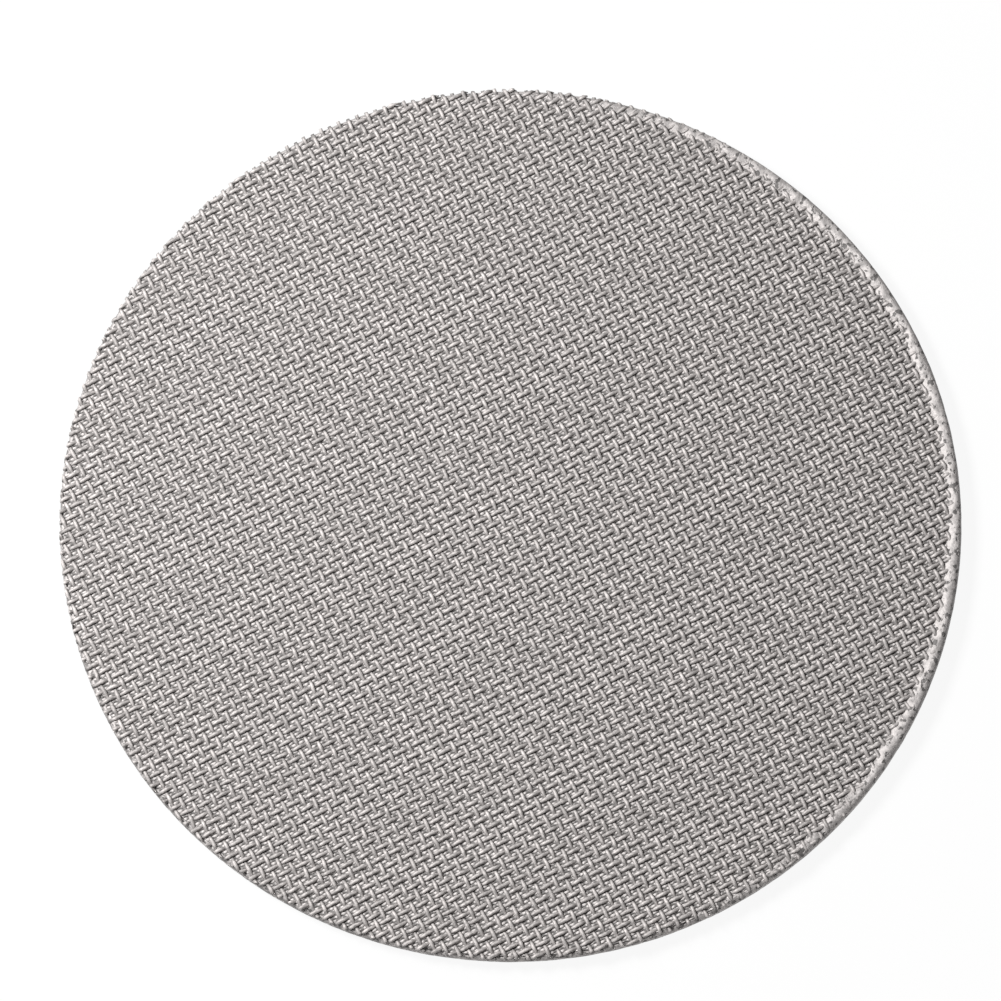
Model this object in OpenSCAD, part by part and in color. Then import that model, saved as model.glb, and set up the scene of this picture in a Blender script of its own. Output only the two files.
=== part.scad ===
// Round filter disc of sintered wire mesh, one bonded piece that lies flat.
// The origin is the centre of the lower face, and +Z is up.
// The wires of the upper face run along X, and those of the lower face along Y.

/* [Disc] */
// Diameter of the sheared rim
disc_d = 58.5; // [40:0.5:70]
// Thickness over the wire crests of both faces
disc_t = 1.7; // [1:0.1:3]

/* [Mesh] */
// Diameter of one wire
wire_d = 0.25; // [0.15:0.01:0.3]
// Spacing of the wires, centre to centre
wire_pitch = 0.635; // [0.5:0.005:1]

/* [Pores] */
// Wires from one straight pore to the next, an odd number so that every pore is in a gap
pore_step = 11; // [7:2:15]
// Ledge left around a pore, inside the gap between the wires
pore_land = 0.03; // [0.01:0.01:0.06]
// Width of the band at the rim that has no pores
pore_margin = 1; // [0.5:0.1:4]

/* [Hidden] */
$fn = 180;

steel = [0.62, 0.61, 0.6];

rim_r = disc_d / 2;
wire_r = wire_d / 2;

// Flats that round off the top of a wire, an odd number so that the crest is level
crest_facets = 3;
facet_angle = 180 / crest_facets;

// The level crest facet lies on the face of the disc
wire_axis_z = disc_t - wire_r * cos(facet_angle / 2);
groove_z = wire_axis_z - wire_r;

// The two faces share a solid wall between their grooves, and each reaches past its middle
wall_t = 2 * groove_z - disc_t;
face_base_z = groove_z - 3 * wall_t / 4;

// Wires on each side of the middle one that fit inside the rim
side_wires = floor((rim_r - wire_d) / wire_pitch);

// Half the width of the square sheet that the disc is cut from
sheet_half = disc_d;

// Straight pores, placed about the centre
pore_w = wire_pitch - wire_d - 2 * pore_land;
pore_pitch = pore_step * wire_pitch;
pore_rows = ceil(rim_r / pore_pitch);

// Height of the round and square punches, which pass both faces
punch_h = 2 * disc_t;

// Section of one wire, from its foot in the groove, over the crest and down again
function wire_outline(y) = concat(
    [[y - wire_r, groove_z]],
    [for (k = [0 : crest_facets])
        [y - wire_r * cos(k * facet_angle), wire_axis_z + wire_r * sin(k * facet_angle)]],
    [[y + wire_r, groove_z]]
);

// Section of the upper half of the sheet, with all its wires side by side
function face_outline() = concat(
    [[-sheet_half, face_base_z], [-sheet_half, groove_z]],
    [for (i = [-side_wires : side_wires]) each wire_outline(i * wire_pitch)],
    [[sheet_half, groove_z], [sheet_half, face_base_z]]
);

// Centres of the pores that keep clear of the rim
function pore_places() = [
    for (i = [-pore_rows : pore_rows - 1])
        for (j = [-pore_rows : pore_rows - 1])
            let (place = [i + 0.5, j + 0.5] * pore_pitch)
                if (norm(place) + pore_w < rim_r - pore_margin) place
];

// Upper half of the sheet, with its wires along X
module wire_face() {
    translate([-sheet_half, 0, 0])
        rotate([90, 0, 90])
            linear_extrude(height = 2 * sheet_half)
                polygon(face_outline());
}

// Both faces lapped in the wall, with the lower wires across the upper ones
module wire_sheet() {
    wire_face();
    translate([0, 0, disc_t])
        rotate([180, 0, 90])
            wire_face();
}

// Pores straight through the wall, where the grooves of the two faces cross
module pores() {
    translate([0, 0, disc_t / 2])
        linear_extrude(height = punch_h, center = true)
            for (place = pore_places())
                translate(place)
                    square(pore_w, center = true);
}

// The sheet, cut round and pierced
module mesh_disc() {
    color(steel)
        difference() {
            intersection() {
                wire_sheet();
                translate([0, 0, disc_t / 2])
                    cylinder(d = disc_d, h = punch_h, center = true);
            }
            pores();
        }
}

mesh_disc();
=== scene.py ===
# %% [markdown]
# # A filter disc of sintered wire mesh
# The disc is woven from stainless wire, pressed and heated until the layers bond, and then
# sheared round. A coarse plain weave covers both faces, a fine cloth shows through its gaps,
# and the shear has smeared the wire ends into a pale rim. The solid that comes with the frame
# has the right size and outline, so everything here is built inside it.

from math import atan2, ceil, cos, pi, radians, sin, sqrt

import bmesh
import bpy
from mathutils import Matrix, Vector, noise


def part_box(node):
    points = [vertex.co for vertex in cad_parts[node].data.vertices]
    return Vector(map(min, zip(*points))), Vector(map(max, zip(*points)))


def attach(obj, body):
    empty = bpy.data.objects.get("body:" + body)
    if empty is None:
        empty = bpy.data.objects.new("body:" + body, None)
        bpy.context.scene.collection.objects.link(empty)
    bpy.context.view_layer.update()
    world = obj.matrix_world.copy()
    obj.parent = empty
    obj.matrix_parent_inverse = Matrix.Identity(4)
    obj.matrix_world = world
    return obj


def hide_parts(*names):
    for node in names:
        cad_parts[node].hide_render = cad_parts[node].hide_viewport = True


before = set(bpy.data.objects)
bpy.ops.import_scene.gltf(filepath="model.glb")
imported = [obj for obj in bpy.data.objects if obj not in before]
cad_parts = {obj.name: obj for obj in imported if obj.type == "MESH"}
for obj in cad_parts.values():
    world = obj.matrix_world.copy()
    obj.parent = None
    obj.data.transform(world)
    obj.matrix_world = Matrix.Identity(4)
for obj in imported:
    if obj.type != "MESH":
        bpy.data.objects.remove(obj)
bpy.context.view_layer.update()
disc_low, disc_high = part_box("mesh_disc")
print("solid box in mm:", [round(1000 * side, 3) for side in disc_high - disc_low])

# %% [markdown]
# ## Driving sizes
# The rim radius and the heights of both faces come from the frame. The weave is a common one: a
# wire a quarter of a millimetre thick, with about forty wires to the inch. The number of wires
# and the places of the pieces follow from these sizes.

# %% Sizes in metres
MM = 0.001
rim_radius = disc_high.x
disc_middle = (disc_low.z + disc_high.z) / 2
wire_d = 0.25 * MM
pitch = 0.635 * MM
wire_r = wire_d / 2
side_wires = int((rim_radius - wire_d) / pitch)
print("wires across:", 2 * side_wires + 1, "gap in mm:", round((pitch - wire_d) / MM, 3))

# %% [markdown]
# ## From a bmesh to a finished piece
# Every piece stands for a part of the same solid, so each one rides on the only body and
# replaces the solid. Smooth shading lets few faces pass for round wire.


# %% Finish a piece
def finished_piece(name, shape):
    """Turns a bmesh into an object that rides on the disc and stands for its solid."""
    mesh = bpy.data.meshes.new(name)
    shape.to_mesh(mesh)
    shape.free()
    mesh.polygons.foreach_set("use_smooth", [True] * len(mesh.polygons))
    piece = bpy.data.objects.new(name, mesh)
    bpy.context.scene.collection.objects.link(piece)
    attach(piece, "root")
    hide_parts("mesh_disc")
    mesh.calc_loop_triangles()
    print(name, "has", len(mesh.loop_triangles), "triangles")
    return piece


# %% [markdown]
# ## One crimped wire
# In a plain weave each wire climbs over one crossing wire and dives under the next. The line
# of a wire is a cosine wave whose half period is the pitch. A tube along that line needs rings
# only where it bends in sight: three rings shape each knuckle that shows, and a single ring is
# enough in the trough, because another wire lies on top of it. The tube starts as a flat grid,
# one row for each ring, which is rolled up around the line and welded along its seam.

# %% Rings along a wire
KNUCKLE_REACH = 0.42 * pitch
WAVE = 1.2 * wire_r


def ring_places(half_length, odd):
    """Places of the rings along a wire, from end to end: knuckles get three, troughs one."""
    places = [-half_length, half_length]
    last = ceil(half_length / pitch)
    for crossing in range(-last, last + 1):
        middle = crossing * pitch
        over = (crossing + odd) % 2 == 0
        spread = (-KNUCKLE_REACH, 0, KNUCKLE_REACH) if over else (0,)
        places += [middle + step for step in spread]
    least_step = 0.1 * pitch
    inside = [x for x in places if abs(x) < half_length - least_step]
    return sorted(inside + places[:2])


print("rings on the middle wire:", len(ring_places(rim_radius, 0)))

# %% [markdown]
# The rings stand square to the line, so that the wire keeps its thickness on the slopes. Real
# cloth is never quite even, so each wire wanders a little to the side and up and down. Noise
# that depends only on the place sets the wander, so that every run weaves the same cloth. The
# shear cut every end on the round of the rim, so points past the rim are drawn back to it.

# %% Roll a grid into a wire
WANDER = 0.07 * MM
LIFT = 0.025 * MM
WANDER_LENGTH = 0.9 * MM
CUT_ROUGHNESS = 0.02 * MM
SEAM_REACH = 0.002 * MM

# Steps through the noise from one wire to the next, and from the wander to the lift
WIRE_STEP = 7.3
LIFT_SHIFT = Vector((0, 0, 50))


def crimp(x, odd):
    """Height and slope of a wire's line above the middle of the weave."""
    angle = pi * (x / pitch + odd)
    return WAVE * cos(angle), -WAVE * pi / pitch * sin(angle)


def woven_wire(number, odd, seed, sides):
    """One wire along X, at its own place across the disc, with its ends cut to the rim."""
    across = number * pitch
    unevenness = 0.5 + 0.5 * noise.noise(Vector((number, seed, 0.5)))
    cut_radius = rim_radius - CUT_ROUGHNESS * unevenness
    half_length = sqrt(cut_radius**2 - across**2)
    places = ring_places(half_length, odd)
    wire = bmesh.new()
    spans = len(places) - 1
    bmesh.ops.create_grid(wire, x_segments=spans, y_segments=sides, size=1)
    for point in wire.verts:
        ring = round((point.co.x + 1) / 2 * spans)
        turn = (point.co.y + 1) * pi
        x = places[ring]
        height, slope = crimp(x, odd)
        spot = Vector((x / WANDER_LENGTH, WIRE_STEP * number, seed))
        aside = WANDER * noise.noise(spot)
        lift = LIFT * noise.noise(spot + LIFT_SHIFT)
        lean = 1 / sqrt(1 + slope**2)
        y = across + aside + wire_r * cos(turn)
        reach = sqrt(max(cut_radius**2 - y**2, 0))
        x -= wire_r * sin(turn) * slope * lean
        point.co.x = min(max(x, -reach), reach)
        point.co.y = y
        point.co.z = height + lift + wire_r * sin(turn) * lean
    bmesh.ops.remove_doubles(wire, verts=wire.verts, dist=SEAM_REACH)
    rims = [edge for edge in wire.edges if edge.is_boundary]
    bmesh.ops.holes_fill(wire, edges=rims, sides=0)
    return wire


# %% [markdown]
# ## Four sets of wires
# The warp runs along X and the weft along Y, a half period out of step, so that one is always
# above where the other is below. The same set of wires makes all four: the weft is a quarter
# turn of the warp, and the lower face is the upper one turned over. The highest crests of the
# upper weave come close to the top of the solid. Where the shear smeared the rim, it pressed the
# wires down and covered their ends, so there they sink and stop short of the edge.

# %% Weave a face
UNDER_LIP = 0.16 * MM
LIP_WIDTH = 0.9 * MM
PRESSED_DOWN = 0.13 * MM
SMEAR_TURN = radians(-15)
SMEAR_RISE = 1.5
SMEAR_START = 0.2
RAGGEDNESS = 0.3
RAGGED_LENGTH = 1.5 * MM
weave_middle = disc_high.z - wire_r - WAVE - LIFT


def smear_share(x, y):
    """How much of the shear's smear there is at a place on the rim, from 0 to 1."""
    turn = atan2(y, x) - SMEAR_TURN
    ragged = RAGGEDNESS * noise.noise(Vector((x, y, 0)) / RAGGED_LENGTH)
    return min(max(SMEAR_RISE * cos(turn) - SMEAR_START + ragged, 0), 1)


def wire_set(name, across, below, seed, sides):
    """All the wires of one direction on one face, as a single piece."""
    gathered = bpy.data.meshes.new("one wire")
    cloth = bmesh.new()
    for number in range(-side_wires, side_wires + 1):
        wire = woven_wire(number, (number + across) % 2, seed, sides)
        wire.to_mesh(gathered)
        wire.free()
        cloth.from_mesh(gathered)
    bpy.data.meshes.remove(gathered)
    place = Matrix.Rotation(pi / 2 * across, 4, "Z")
    place = Matrix.Translation((0, 0, weave_middle)) @ place
    if below:
        turned_over = Matrix.Rotation(pi, 4, "X")
        place = Matrix.Translation((0, 0, 2 * disc_middle)) @ turned_over @ place
    bmesh.ops.transform(cloth, matrix=place, verts=cloth.verts)
    for point in cloth.verts:
        covered = 1 if below else smear_share(point.co.x, point.co.y)
        reach = rim_radius - UNDER_LIP * covered
        radius = point.co.xy.length
        pressed = min(max((radius - rim_radius + LIP_WIDTH) / (LIP_WIDTH / 2), 0), 1)
        point.co.z += (PRESSED_DOWN if below else -PRESSED_DOWN) * covered * pressed
        if radius > reach:
            point.co.xy *= reach / radius
    bmesh.ops.recalc_face_normals(cloth, faces=cloth.faces)
    return finished_piece(name, cloth)


upper_warp = wire_set("upper_warp_wires", across=0, below=False, seed=1.0, sides=7)
upper_weft = wire_set("upper_weft_wires", across=1, below=False, seed=2.0, sides=7)
lower_warp = wire_set("lower_warp_wires", across=0, below=True, seed=3.0, sides=6)
lower_weft = wire_set("lower_weft_wires", across=1, below=True, seed=4.0, sides=6)

# %% [markdown]
# ## The fine cloth between the faces
# Through each gap of the coarse weave a finer cloth shows: closely packed thin wires, side by
# side. Straight wires need no rings along their length, so each one is a strip of a few long
# faces that runs from rim to rim. A grid two points wide gives the strips, its ends are pushed
# out to the round of the disc, and a wall joins the upper strips to the lower ones. The wall
# meets them at a sharp edge: the strips have no other points, so smooth shading across that
# edge would tilt the light all along them.

# %% Make the fine cloth
fine_pitch = 0.205 * MM
fine_height = 0.095 * MM
fine_rows = 6
FINE_INSET = 0.3 * MM
LAST_STRIP = 0.01 * MM
GAP_DEPTH = 0.28 * MM
fine_radius = rim_radius - FINE_INSET
fine_top = disc_high.z - GAP_DEPTH
fine_bottom = disc_low.z + GAP_DEPTH


def fine_face(level, sign):
    """One ridged face of the fine cloth, as a grid of long strips."""
    face = bmesh.new()
    rows = int(2 * fine_radius / fine_pitch * fine_rows)
    bmesh.ops.create_grid(face, x_segments=1, y_segments=rows, size=1)
    for point in face.verts:
        y = point.co.y * (fine_radius - LAST_STRIP)
        aside = 2 * (y / fine_pitch - round(y / fine_pitch))
        point.co.x *= sqrt(fine_radius**2 - y**2)
        point.co.y = y
        point.co.z = level - sign * fine_height * (1 - sqrt(1 - aside**2))
    return face


def fine_cloth():
    """The two ridged faces, joined by a wall around their edge."""
    cloth = fine_face(fine_top, 1)
    lower = fine_face(fine_bottom, -1)
    gathered = bpy.data.meshes.new("lower face")
    lower.to_mesh(gathered)
    lower.free()
    cloth.from_mesh(gathered)
    bpy.data.meshes.remove(gathered)
    edges = [edge for edge in cloth.edges if edge.is_boundary]
    bmesh.ops.bridge_loops(cloth, edges=edges)
    for edge in edges:
        edge.smooth = False
    bmesh.ops.recalc_face_normals(cloth, faces=cloth.faces)
    return finished_piece("fine_filter_cloth", cloth)


fine_filter_cloth = fine_cloth()

# %% [markdown]
# ## The sheared rim
# The shear smears the wire ends over each other, so that the edge is a pale, uneven band with
# small pits where gaps were. A few points of a section are spun around the axis, and noise then
# pushes the surface in and out: coarse for the smears and fine for the pits. Away from the
# smear the band is lower, and the cut wire ends show above it.

# %% Spin the rim
RIM_STEPS = 1152
RIM_DENT = 0.05 * MM
LIP_DENT = 0.15 * MM
FAR_SHARE = 0.62
EDGE_WIDTH = 0.25 * MM
PIT_START = 0.25

# Scales of the noise per millimetre, and shifts that keep the three kinds apart
SMEAR_SCALE = 1.1
PIT_SCALE = 3.1
LIP_SCALE = 1.6
HEIGHT_STRETCH = 2.5
PIT_SHIFT = Vector((5, 5, 5))
LIP_SHIFT = Vector((9, 0, 0))

# Section of the rim as distance in from the edge and height above the middle, in millimetres
lip_section = [(1.15, 0.42), (0.88, 0.6), (0.62, 0.71), (0.4, 0.75), (0.2, 0.73)]
wall_section = [(0.13, 0.66), (0.09, 0.55), (0.05, 0.42), (0.02, 0.28), (0.02, 0.1)]
REACH_UP = 0.83 * MM


def rim_section():
    """Points of the closed section, from the upper lip down the wall to the lower lip."""
    places = lip_section + wall_section
    half = [Vector((rim_radius - MM * inset, 0, MM * height)) for inset, height in places]
    lower = [Vector((point.x, 0, -point.z)) for point in reversed(half)]
    return half + lower


def sheared_rim():
    """The rim, spun from its section and roughened."""
    rim = bmesh.new()
    points = [rim.verts.new(place) for place in rim_section()]
    edges = [rim.edges.new(pair) for pair in zip(points, points[1:] + points[:1])]
    bmesh.ops.spin(
        rim, geom=points + edges, axis=(0, 0, 1), cent=(0, 0, 0),
        angle=2 * pi, steps=RIM_STEPS, use_merge=True,
    )
    for point in rim.verts:
        out = Vector((point.co.x, point.co.y, 0))
        radius = out.length
        spot = Vector((point.co.x / MM, point.co.y / MM, HEIGHT_STRETCH * point.co.z / MM))
        smear = noise.noise(SMEAR_SCALE * spot)
        pit = max(0, noise.noise(PIT_SCALE * spot + PIT_SHIFT) - PIT_START)
        dent = RIM_DENT * (0.35 + 0.35 * smear + pit)
        inward = min(1, (rim_radius - radius) / EDGE_WIDTH)
        smeared = smear_share(point.co.x, point.co.y)
        height = point.co.z * (FAR_SHARE + (1 - FAR_SHARE) * smeared)
        lift = LIP_DENT * noise.noise(LIP_SCALE * spot + LIP_SHIFT) * inward
        point.co.x -= out.x / radius * dent
        point.co.y -= out.y / radius * dent
        height += lift if height > 0 else -lift
        point.co.z = disc_middle + min(max(height, -REACH_UP), REACH_UP)
    bmesh.ops.recalc_face_normals(rim, faces=rim.faces)
    return finished_piece("sheared_rim", rim)


rim = sheared_rim()

# %% [markdown]
# ## Writing shaders as sums
# Finishes read better as arithmetic than as chains of nodes. A small class wraps a socket, so
# that sums and products of sockets add Math nodes, and one method adds any other node.


# %% A socket with arithmetic
class Field:
    """A value that changes over a surface. Arithmetic on it adds Math nodes."""

    def __init__(self, finish, socket):
        self.finish = finish
        self.socket = socket

    def combine(self, operation, first, second):
        return self.finish.node("ShaderNodeMath", {"operation": operation}, {0: first, 1: second})

    def __add__(self, other):
        return self.combine("ADD", self, other)

    def __radd__(self, other):
        return self.combine("ADD", other, self)

    def __sub__(self, other):
        return self.combine("SUBTRACT", self, other)

    def __rsub__(self, other):
        return self.combine("SUBTRACT", other, self)

    def __mul__(self, other):
        return self.combine("MULTIPLY", self, other)

    def __rmul__(self, other):
        return self.combine("MULTIPLY", other, self)


class Finish:
    """A material whose shader is fed by fields and plain values."""

    def __init__(self, name):
        self.material = bpy.data.materials.new(name)
        self.material.use_nodes = True
        self.tree = self.material.node_tree
        self.shader = self.tree.nodes["Principled BSDF"]
        self.output = self.tree.nodes["Material Output"]

    def node(self, kind, settings=None, sockets=None, output=0):
        """Adds a node, sets it up, feeds its sockets and returns one of its outputs."""
        made = self.tree.nodes.new(kind)
        for name, value in (settings or {}).items():
            setattr(made, name, value)
        for name, value in (sockets or {}).items():
            self.feed(made.inputs[name], value)
        return Field(self, made.outputs[output])

    def feed(self, target, value):
        """Links a field to a socket, or sets the socket to a plain value."""
        if isinstance(value, Field):
            self.tree.links.new(value.socket, target)
        else:
            target.default_value = value

    def grain(self, size, detail=2.0):
        """Noise of about that size in metres, from 0 to 1, on the object's own coordinates."""
        place = self.node("ShaderNodeTexCoord", output="Object")
        return self.node(
            "ShaderNodeTexNoise", sockets={"Vector": place, "Scale": 1 / size, "Detail": detail}
        )

    def from_middle(self):
        """Distance above or below the middle of the disc, in metres."""
        place = self.node("ShaderNodeTexCoord", output="Object")
        height = self.node("ShaderNodeSeparateXYZ", sockets={"Vector": place}, output="Z")
        return self.node("ShaderNodeMath", {"operation": "ABSOLUTE"}, {0: height - disc_middle})

    def mixed(self, factor, first, second):
        """A colour between two others, either of which may be a field."""
        sockets = {0: factor, 6: first, 7: second}
        return self.node("ShaderNodeMix", {"data_type": "RGBA"}, sockets, output=2)

    def between(self, factor, dark, light):
        """A colour between two plain ones."""
        return self.mixed(factor, (*dark, 1), (*light, 1))

    def band(self, field, low, high):
        """Stretches the part of a field between two values to the whole range from 0 to 1."""
        return self.node(
            "ShaderNodeMapRange", {"clamp": True},
            {"Value": field, "From Min": low, "From Max": high},
        )

    def bump(self, height, depth):
        """A normal bent by a height field that is that many metres deep."""
        return self.node("ShaderNodeBump", sockets={"Height": height, "Distance": depth})

    def wear(self, *pieces):
        """Puts the material on these pieces."""
        for piece in pieces:
            piece.data.materials.clear()
            piece.data.materials.append(self.material)
        print(self.material.name, "uses", len(self.tree.nodes), "nodes")


# %% [markdown]
# ## Satin wire
# Drawn stainless wire comes out of the sintering furnace with a satin skin, a little duller in
# some spots than in others and with a fine grain. Painted shade darkens the flanks low in the
# weave by their height above the middle of the disc, so the knuckles stay brighter.

# %% Wire finish
# Heights above the middle over which the painted shade on the wire flanks fades out
SUNK_RISE = 0.53 * MM
CLEAR_RISE = 0.7 * MM
FLANK_SHADE = 0.75
wire_finish = Finish("satin_wire")
tone = wire_finish.band(wire_finish.grain(0.3 * MM), 0.35, 0.65)
skin = wire_finish.grain(0.09 * MM)
rise = wire_finish.from_middle()
# Painted shade: the flanks low in the weave are darkened by their height alone
painted_flank_shade = 1 - wire_finish.band(rise, SUNK_RISE, CLEAR_RISE)
bright_wire = wire_finish.between(tone, (0.42, 0.398, 0.388), (0.7, 0.663, 0.648))
# The dark colour below is painted shade for the low flanks of the wires
wire_finish.feed(
    wire_finish.shader.inputs["Base Color"],
    wire_finish.mixed(FLANK_SHADE * painted_flank_shade, bright_wire, (0.14, 0.133, 0.13, 1)),
)
wire_finish.feed(wire_finish.shader.inputs["Metallic"], 0.7)
wire_finish.feed(wire_finish.shader.inputs["Roughness"], 0.68 + 0.16 * skin)
wire_finish.feed(wire_finish.shader.inputs["Normal"], wire_finish.bump(skin, 0.012 * MM))
wire_finish.wear(upper_warp, upper_weft, lower_warp, lower_weft)

# %% [markdown]
# ## Fine cloth
# The thin wires cross others that are too small to model. A cosine along each wire paints light
# and shade into the colour, pale where a knuckle would come up and dark where it dips, out of
# step from wire to wire. A grain of about the same size bends the light, and painted shade
# darkens the hollows between the wires.

# %% Fine cloth finish
FINE_WAVE = 0.5 * MM
WIRE_PHASE = 2.4
WAVE_JITTER = 3.0
# Depths below the crest over which the painted shade of the hollows fades in
HOLLOW_DEPTH = 0.9 * fine_height
CREST_DEPTH = 0.3 * fine_height
cloth_finish = Finish("fine_cloth")
cloth_grain = cloth_finish.grain(0.16 * MM)
place = cloth_finish.node("ShaderNodeTexCoord", output="Object")
along = cloth_finish.node("ShaderNodeSeparateXYZ", sockets={"Vector": place}, output="X")
aside = cloth_finish.node("ShaderNodeSeparateXYZ", sockets={"Vector": place}, output="Y")
wire_number = cloth_finish.node(
    "ShaderNodeMath", {"operation": "ROUND"}, {0: aside * (1 / fine_pitch)}
)
wave = along * (2 * pi / FINE_WAVE) + wire_number * WIRE_PHASE + WAVE_JITTER * cloth_grain
knuckle = 0.5 + 0.5 * cloth_finish.node("ShaderNodeMath", {"operation": "COSINE"}, {0: wave})
crest_height = fine_top - disc_middle
# Painted shade: the hollows between the thin wires are mixed towards near black
crest_outside_painted_shade = cloth_finish.band(
    cloth_finish.from_middle(), crest_height - HOLLOW_DEPTH, crest_height - CREST_DEPTH
)
# Painted light and shade along each thin wire: pale where a knuckle would come up, dark where it
# dips
knuckle_light_and_shade_colour = cloth_finish.between(
    cloth_finish.band(knuckle, 0.1, 0.9), (0.2, 0.19, 0.185), (0.7, 0.663, 0.648)
)
cloth_finish.feed(
    cloth_finish.shader.inputs["Base Color"],
    cloth_finish.mixed(crest_outside_painted_shade, (0.035, 0.033, 0.032, 1), knuckle_light_and_shade_colour),
)
cloth_finish.feed(cloth_finish.shader.inputs["Metallic"], 0.15)
cloth_finish.feed(cloth_finish.shader.inputs["Roughness"], 0.55 + 0.3 * cloth_grain)
cloth_finish.feed(
    cloth_finish.shader.inputs["Normal"], cloth_finish.bump(cloth_grain + knuckle, 0.05 * MM)
)
cloth_finish.wear(fine_filter_cloth)

# %% [markdown]
# ## Smeared rim
# The shear burnished the upper part of the edge, so it is pale, with streaks and with specks of
# painted shade where the smears left holes. A thin line of painted shade darkens its outermost
# edge. Below that the metal tore, so the wall is rough and darker, with the round cut ends of
# wires in it.

# %% Rim finish
CUT_END = 0.34 * MM
# Strengths of the painted shade along the outer edge and in the hole specks
LINE_SHADE = 0.45
SPECK_SHADE = 0.85
rim_finish = Finish("sheared_edge")
streaks = rim_finish.grain(0.22 * MM, detail=3.0)
# Painted shade: dark specks stand for the shade inside small holes
hole_shade_specks = rim_finish.band(rim_finish.grain(0.4 * MM), 0.56, 0.64)
place = rim_finish.node("ShaderNodeTexCoord", output="Object")
height = rim_finish.node("ShaderNodeSeparateXYZ", sockets={"Vector": place}, output="Z")
east = rim_finish.node("ShaderNodeSeparateXYZ", sockets={"Vector": place}, output="X")
north = rim_finish.node("ShaderNodeSeparateXYZ", sockets={"Vector": place}, output="Y")
near = (east * cos(SMEAR_TURN) + north * sin(SMEAR_TURN)) * (0.3 * MM / rim_radius)
burnished = rim_finish.band(height + near + 0.6 * MM * streaks, 1.05 * MM, 1.4 * MM)
outward = rim_finish.node(
    "ShaderNodeVectorMath", {"operation": "MULTIPLY"}, {0: place, 1: (1, 1, 0)}
)
radius = rim_finish.node(
    "ShaderNodeVectorMath", {"operation": "LENGTH"}, {0: outward}, output="Value"
)
outermost = rim_finish.band(
    radius + near + 0.1 * MM * streaks, rim_radius + 0.06 * MM, rim_radius + 0.15 * MM
)
smeared = rim_finish.between(
    rim_finish.band(streaks, 0.3, 0.7), (0.38, 0.36, 0.352), (0.6, 0.568, 0.555)
)
spots = rim_finish.node(
    "ShaderNodeTexVoronoi", sockets={"Vector": place, "Scale": 1 / CUT_END}, output="Distance"
)
cut_ends = 1 - rim_finish.band(spots, 0.3, 0.55)
torn = rim_finish.between(cut_ends, (0.26, 0.246, 0.241), (0.64, 0.606, 0.592))
edge = rim_finish.mixed(burnished, torn, smeared)
# Painted shade: a thin dark line along the outermost edge, on its upper part
painted_edge_shade = outermost * rim_finish.band(height, 1.1 * MM, 1.3 * MM)
edge = rim_finish.mixed(LINE_SHADE * painted_edge_shade, edge, (0.15, 0.142, 0.139, 1))
rim_finish.feed(
    rim_finish.shader.inputs["Base Color"],
    rim_finish.mixed(SPECK_SHADE * hole_shade_specks * burnished, edge, (0.1, 0.095, 0.093, 1)),
)
rim_finish.feed(rim_finish.shader.inputs["Metallic"], 0.55)
rim_finish.feed(rim_finish.shader.inputs["Roughness"], 0.55 + 0.2 * streaks)
rim_finish.feed(
    rim_finish.shader.inputs["Normal"],
    rim_finish.bump(streaks - hole_shade_specks + cut_ends * (1 - burnished), 0.04 * MM),
)
rim_finish.wear(rim)

# %% [markdown]
# ## A white sweep
# The disc lies on a white floor that curves up into a wall, so that no horizon shows. The
# camera and the reflections see it as almost pure white, and a small share of plain white paint
# keeps a faint shadow beside the disc.

# %% Floor
FLOOR_RADIUS = 0.8
SWEEP_RADIUS = 0.3
FLOOR_SIDES = 96
SWEEP_STEPS = 8
WHITE_SHARE = 0.92


def white_sweep():
    """A round floor whose edge curves up into a wall."""
    sweep = bmesh.new()
    bmesh.ops.create_circle(sweep, cap_ends=True, segments=FLOOR_SIDES, radius=FLOOR_RADIUS)
    edges = list(sweep.edges)
    for step in range(1, SWEEP_STEPS + 1):
        angle = pi / 2 * step / SWEEP_STEPS
        grown = FLOOR_RADIUS + SWEEP_RADIUS * sin(angle)
        added = bmesh.ops.extrude_edge_only(sweep, edges=edges)["geom"]
        edges = [item for item in added if isinstance(item, bmesh.types.BMEdge)]
        for point in (item for item in added if isinstance(item, bmesh.types.BMVert)):
            point.co.xy = point.co.xy.normalized() * grown
            point.co.z = SWEEP_RADIUS * (1 - cos(angle))
    mesh = bpy.data.meshes.new("white_sweep")
    sweep.to_mesh(mesh)
    sweep.free()
    floor = bpy.data.objects.new("white_sweep", mesh)
    bpy.context.scene.collection.objects.link(floor)
    return floor


floor = white_sweep()
paint = Finish("white_paint")
rays = paint.node("ShaderNodeLightPath", output="Is Camera Ray")
for ray in ("Is Glossy Ray", "Is Transmission Ray"):
    rays = rays + paint.node("ShaderNodeLightPath", output=ray)
plain = paint.node("ShaderNodeBsdfDiffuse", sockets={"Color": (0.86, 0.86, 0.86, 1)})
glow = paint.node("ShaderNodeEmission", sockets={"Color": (1, 1, 1, 1), "Strength": 1.0})
mixed = paint.node("ShaderNodeMixShader", sockets={0: WHITE_SHARE * rays, 1: plain, 2: glow})
paint.feed(paint.output.inputs["Surface"], mixed)
paint.wear(floor)

# %% [markdown]
# ## Light
# Directions are given as they look in the picture, which is turned against the wires. A soft
# lamp stands on the left, half-way up: it draws a bright dash on each slope that faces it and
# leaves the other side of the wires dark. A small lamp close above the upper left makes that
# side of the disc paler, and a grey room fills the rest.

# %% Lamps and room
picture_turn = radians(-26.6)


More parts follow.
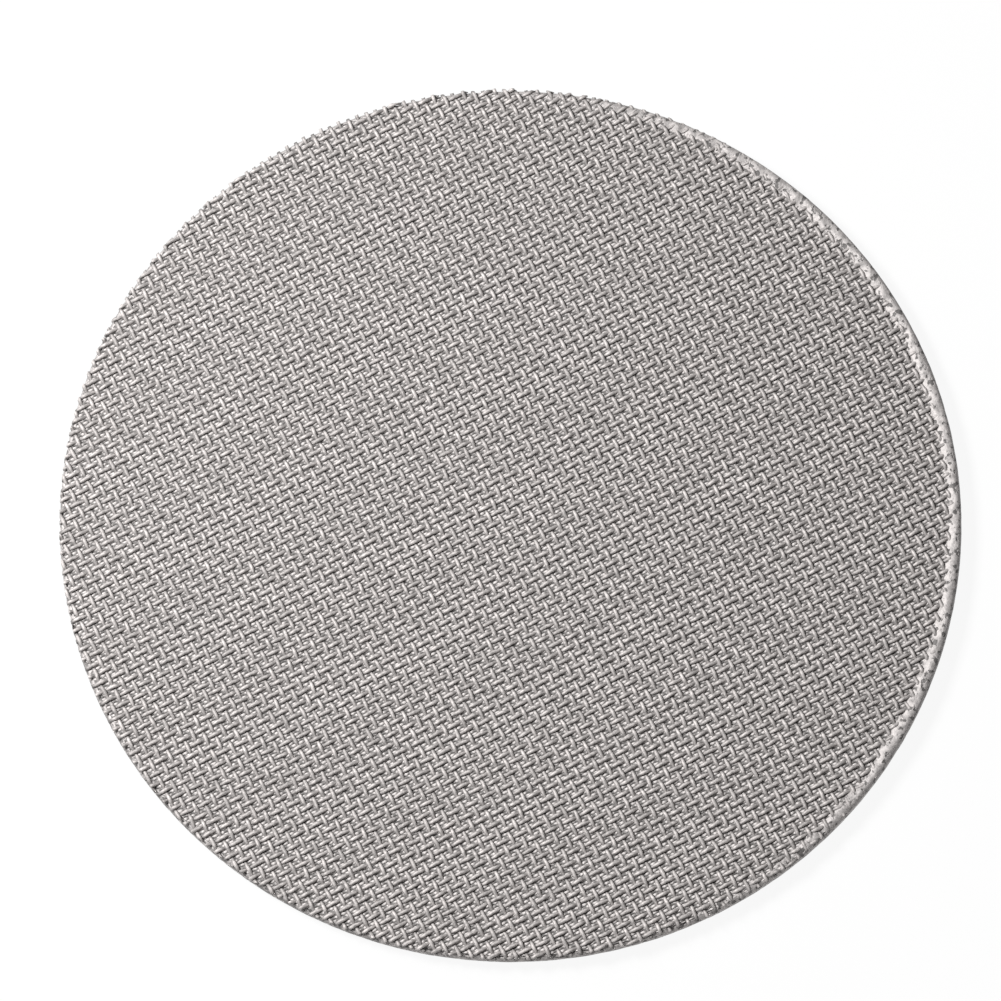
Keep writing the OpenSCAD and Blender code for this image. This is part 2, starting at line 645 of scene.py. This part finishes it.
def lamp(name, turn, height, distance, size, power):
    """An area lamp that looks at the disc from a direction of the picture, in degrees."""
    light = bpy.data.lights.new(name, "AREA")
    light.size = size
    light.energy = power
    holder = bpy.data.objects.new(name, light)
    bpy.context.scene.collection.objects.link(holder)
    flat = picture_turn + radians(turn)
    rise = radians(height)
    away = Vector((cos(flat) * cos(rise), sin(flat) * cos(rise), sin(rise)))
    holder.location = away * distance
    holder.rotation_euler = away.to_track_quat("Z", "Y").to_euler()
    return holder


lamp("key_lamp", turn=162, height=52, distance=0.32, size=0.085, power=1.34)
lamp("fill_lamp", turn=150, height=57, distance=0.084, size=0.03, power=0.015)

room = bpy.data.worlds.new("grey_room")
room.use_nodes = True
room.node_tree.nodes["Background"].inputs["Color"].default_value = (0.12, 0.12, 0.12, 1)
bpy.context.scene.world = room
bpy.context.scene.view_settings.view_transform = "Standard"

# %% [markdown]
# ## Camera
# The picture looks down on the disc, leaning back a little so that the near edge is at the
# bottom and the round outline is wider than it is tall. The camera is turned about its own axis
# until the wires run as in the picture.

# %% Camera
CAMERA_DISTANCE = 0.417
CAMERA_TILT = radians(15.5)
CAMERA_SIDE = radians(-90)
FRAME_PIXELS = 1001
SENSOR = 36.0
pixels_per_metre = 15448
disc_offset = Vector((10.3, -14.9)) / pixels_per_metre

camera_data = bpy.data.cameras.new("camera")
camera_data.sensor_width = SENSOR
camera_data.lens = pixels_per_metre * CAMERA_DISTANCE / FRAME_PIXELS * SENSOR
camera = bpy.data.objects.new("camera", camera_data)
bpy.context.scene.collection.objects.link(camera)
bpy.context.scene.camera = camera

toward = picture_turn + CAMERA_SIDE
back = Vector((
    cos(toward) * sin(CAMERA_TILT), sin(toward) * sin(CAMERA_TILT), cos(CAMERA_TILT)
))
picture_up = Vector((cos(picture_turn + pi / 2), sin(picture_turn + pi / 2), 0))
right = picture_up.cross(back).normalized()
up = back.cross(right)
aim = Vector((0, 0, disc_high.z)) - right * disc_offset.x - up * disc_offset.y
turned = Matrix((right, up, back)).transposed().to_4x4()
camera.matrix_world = Matrix.Translation(aim + back * CAMERA_DISTANCE) @ turned
print("lens in mm:", round(camera_data.lens, 1))
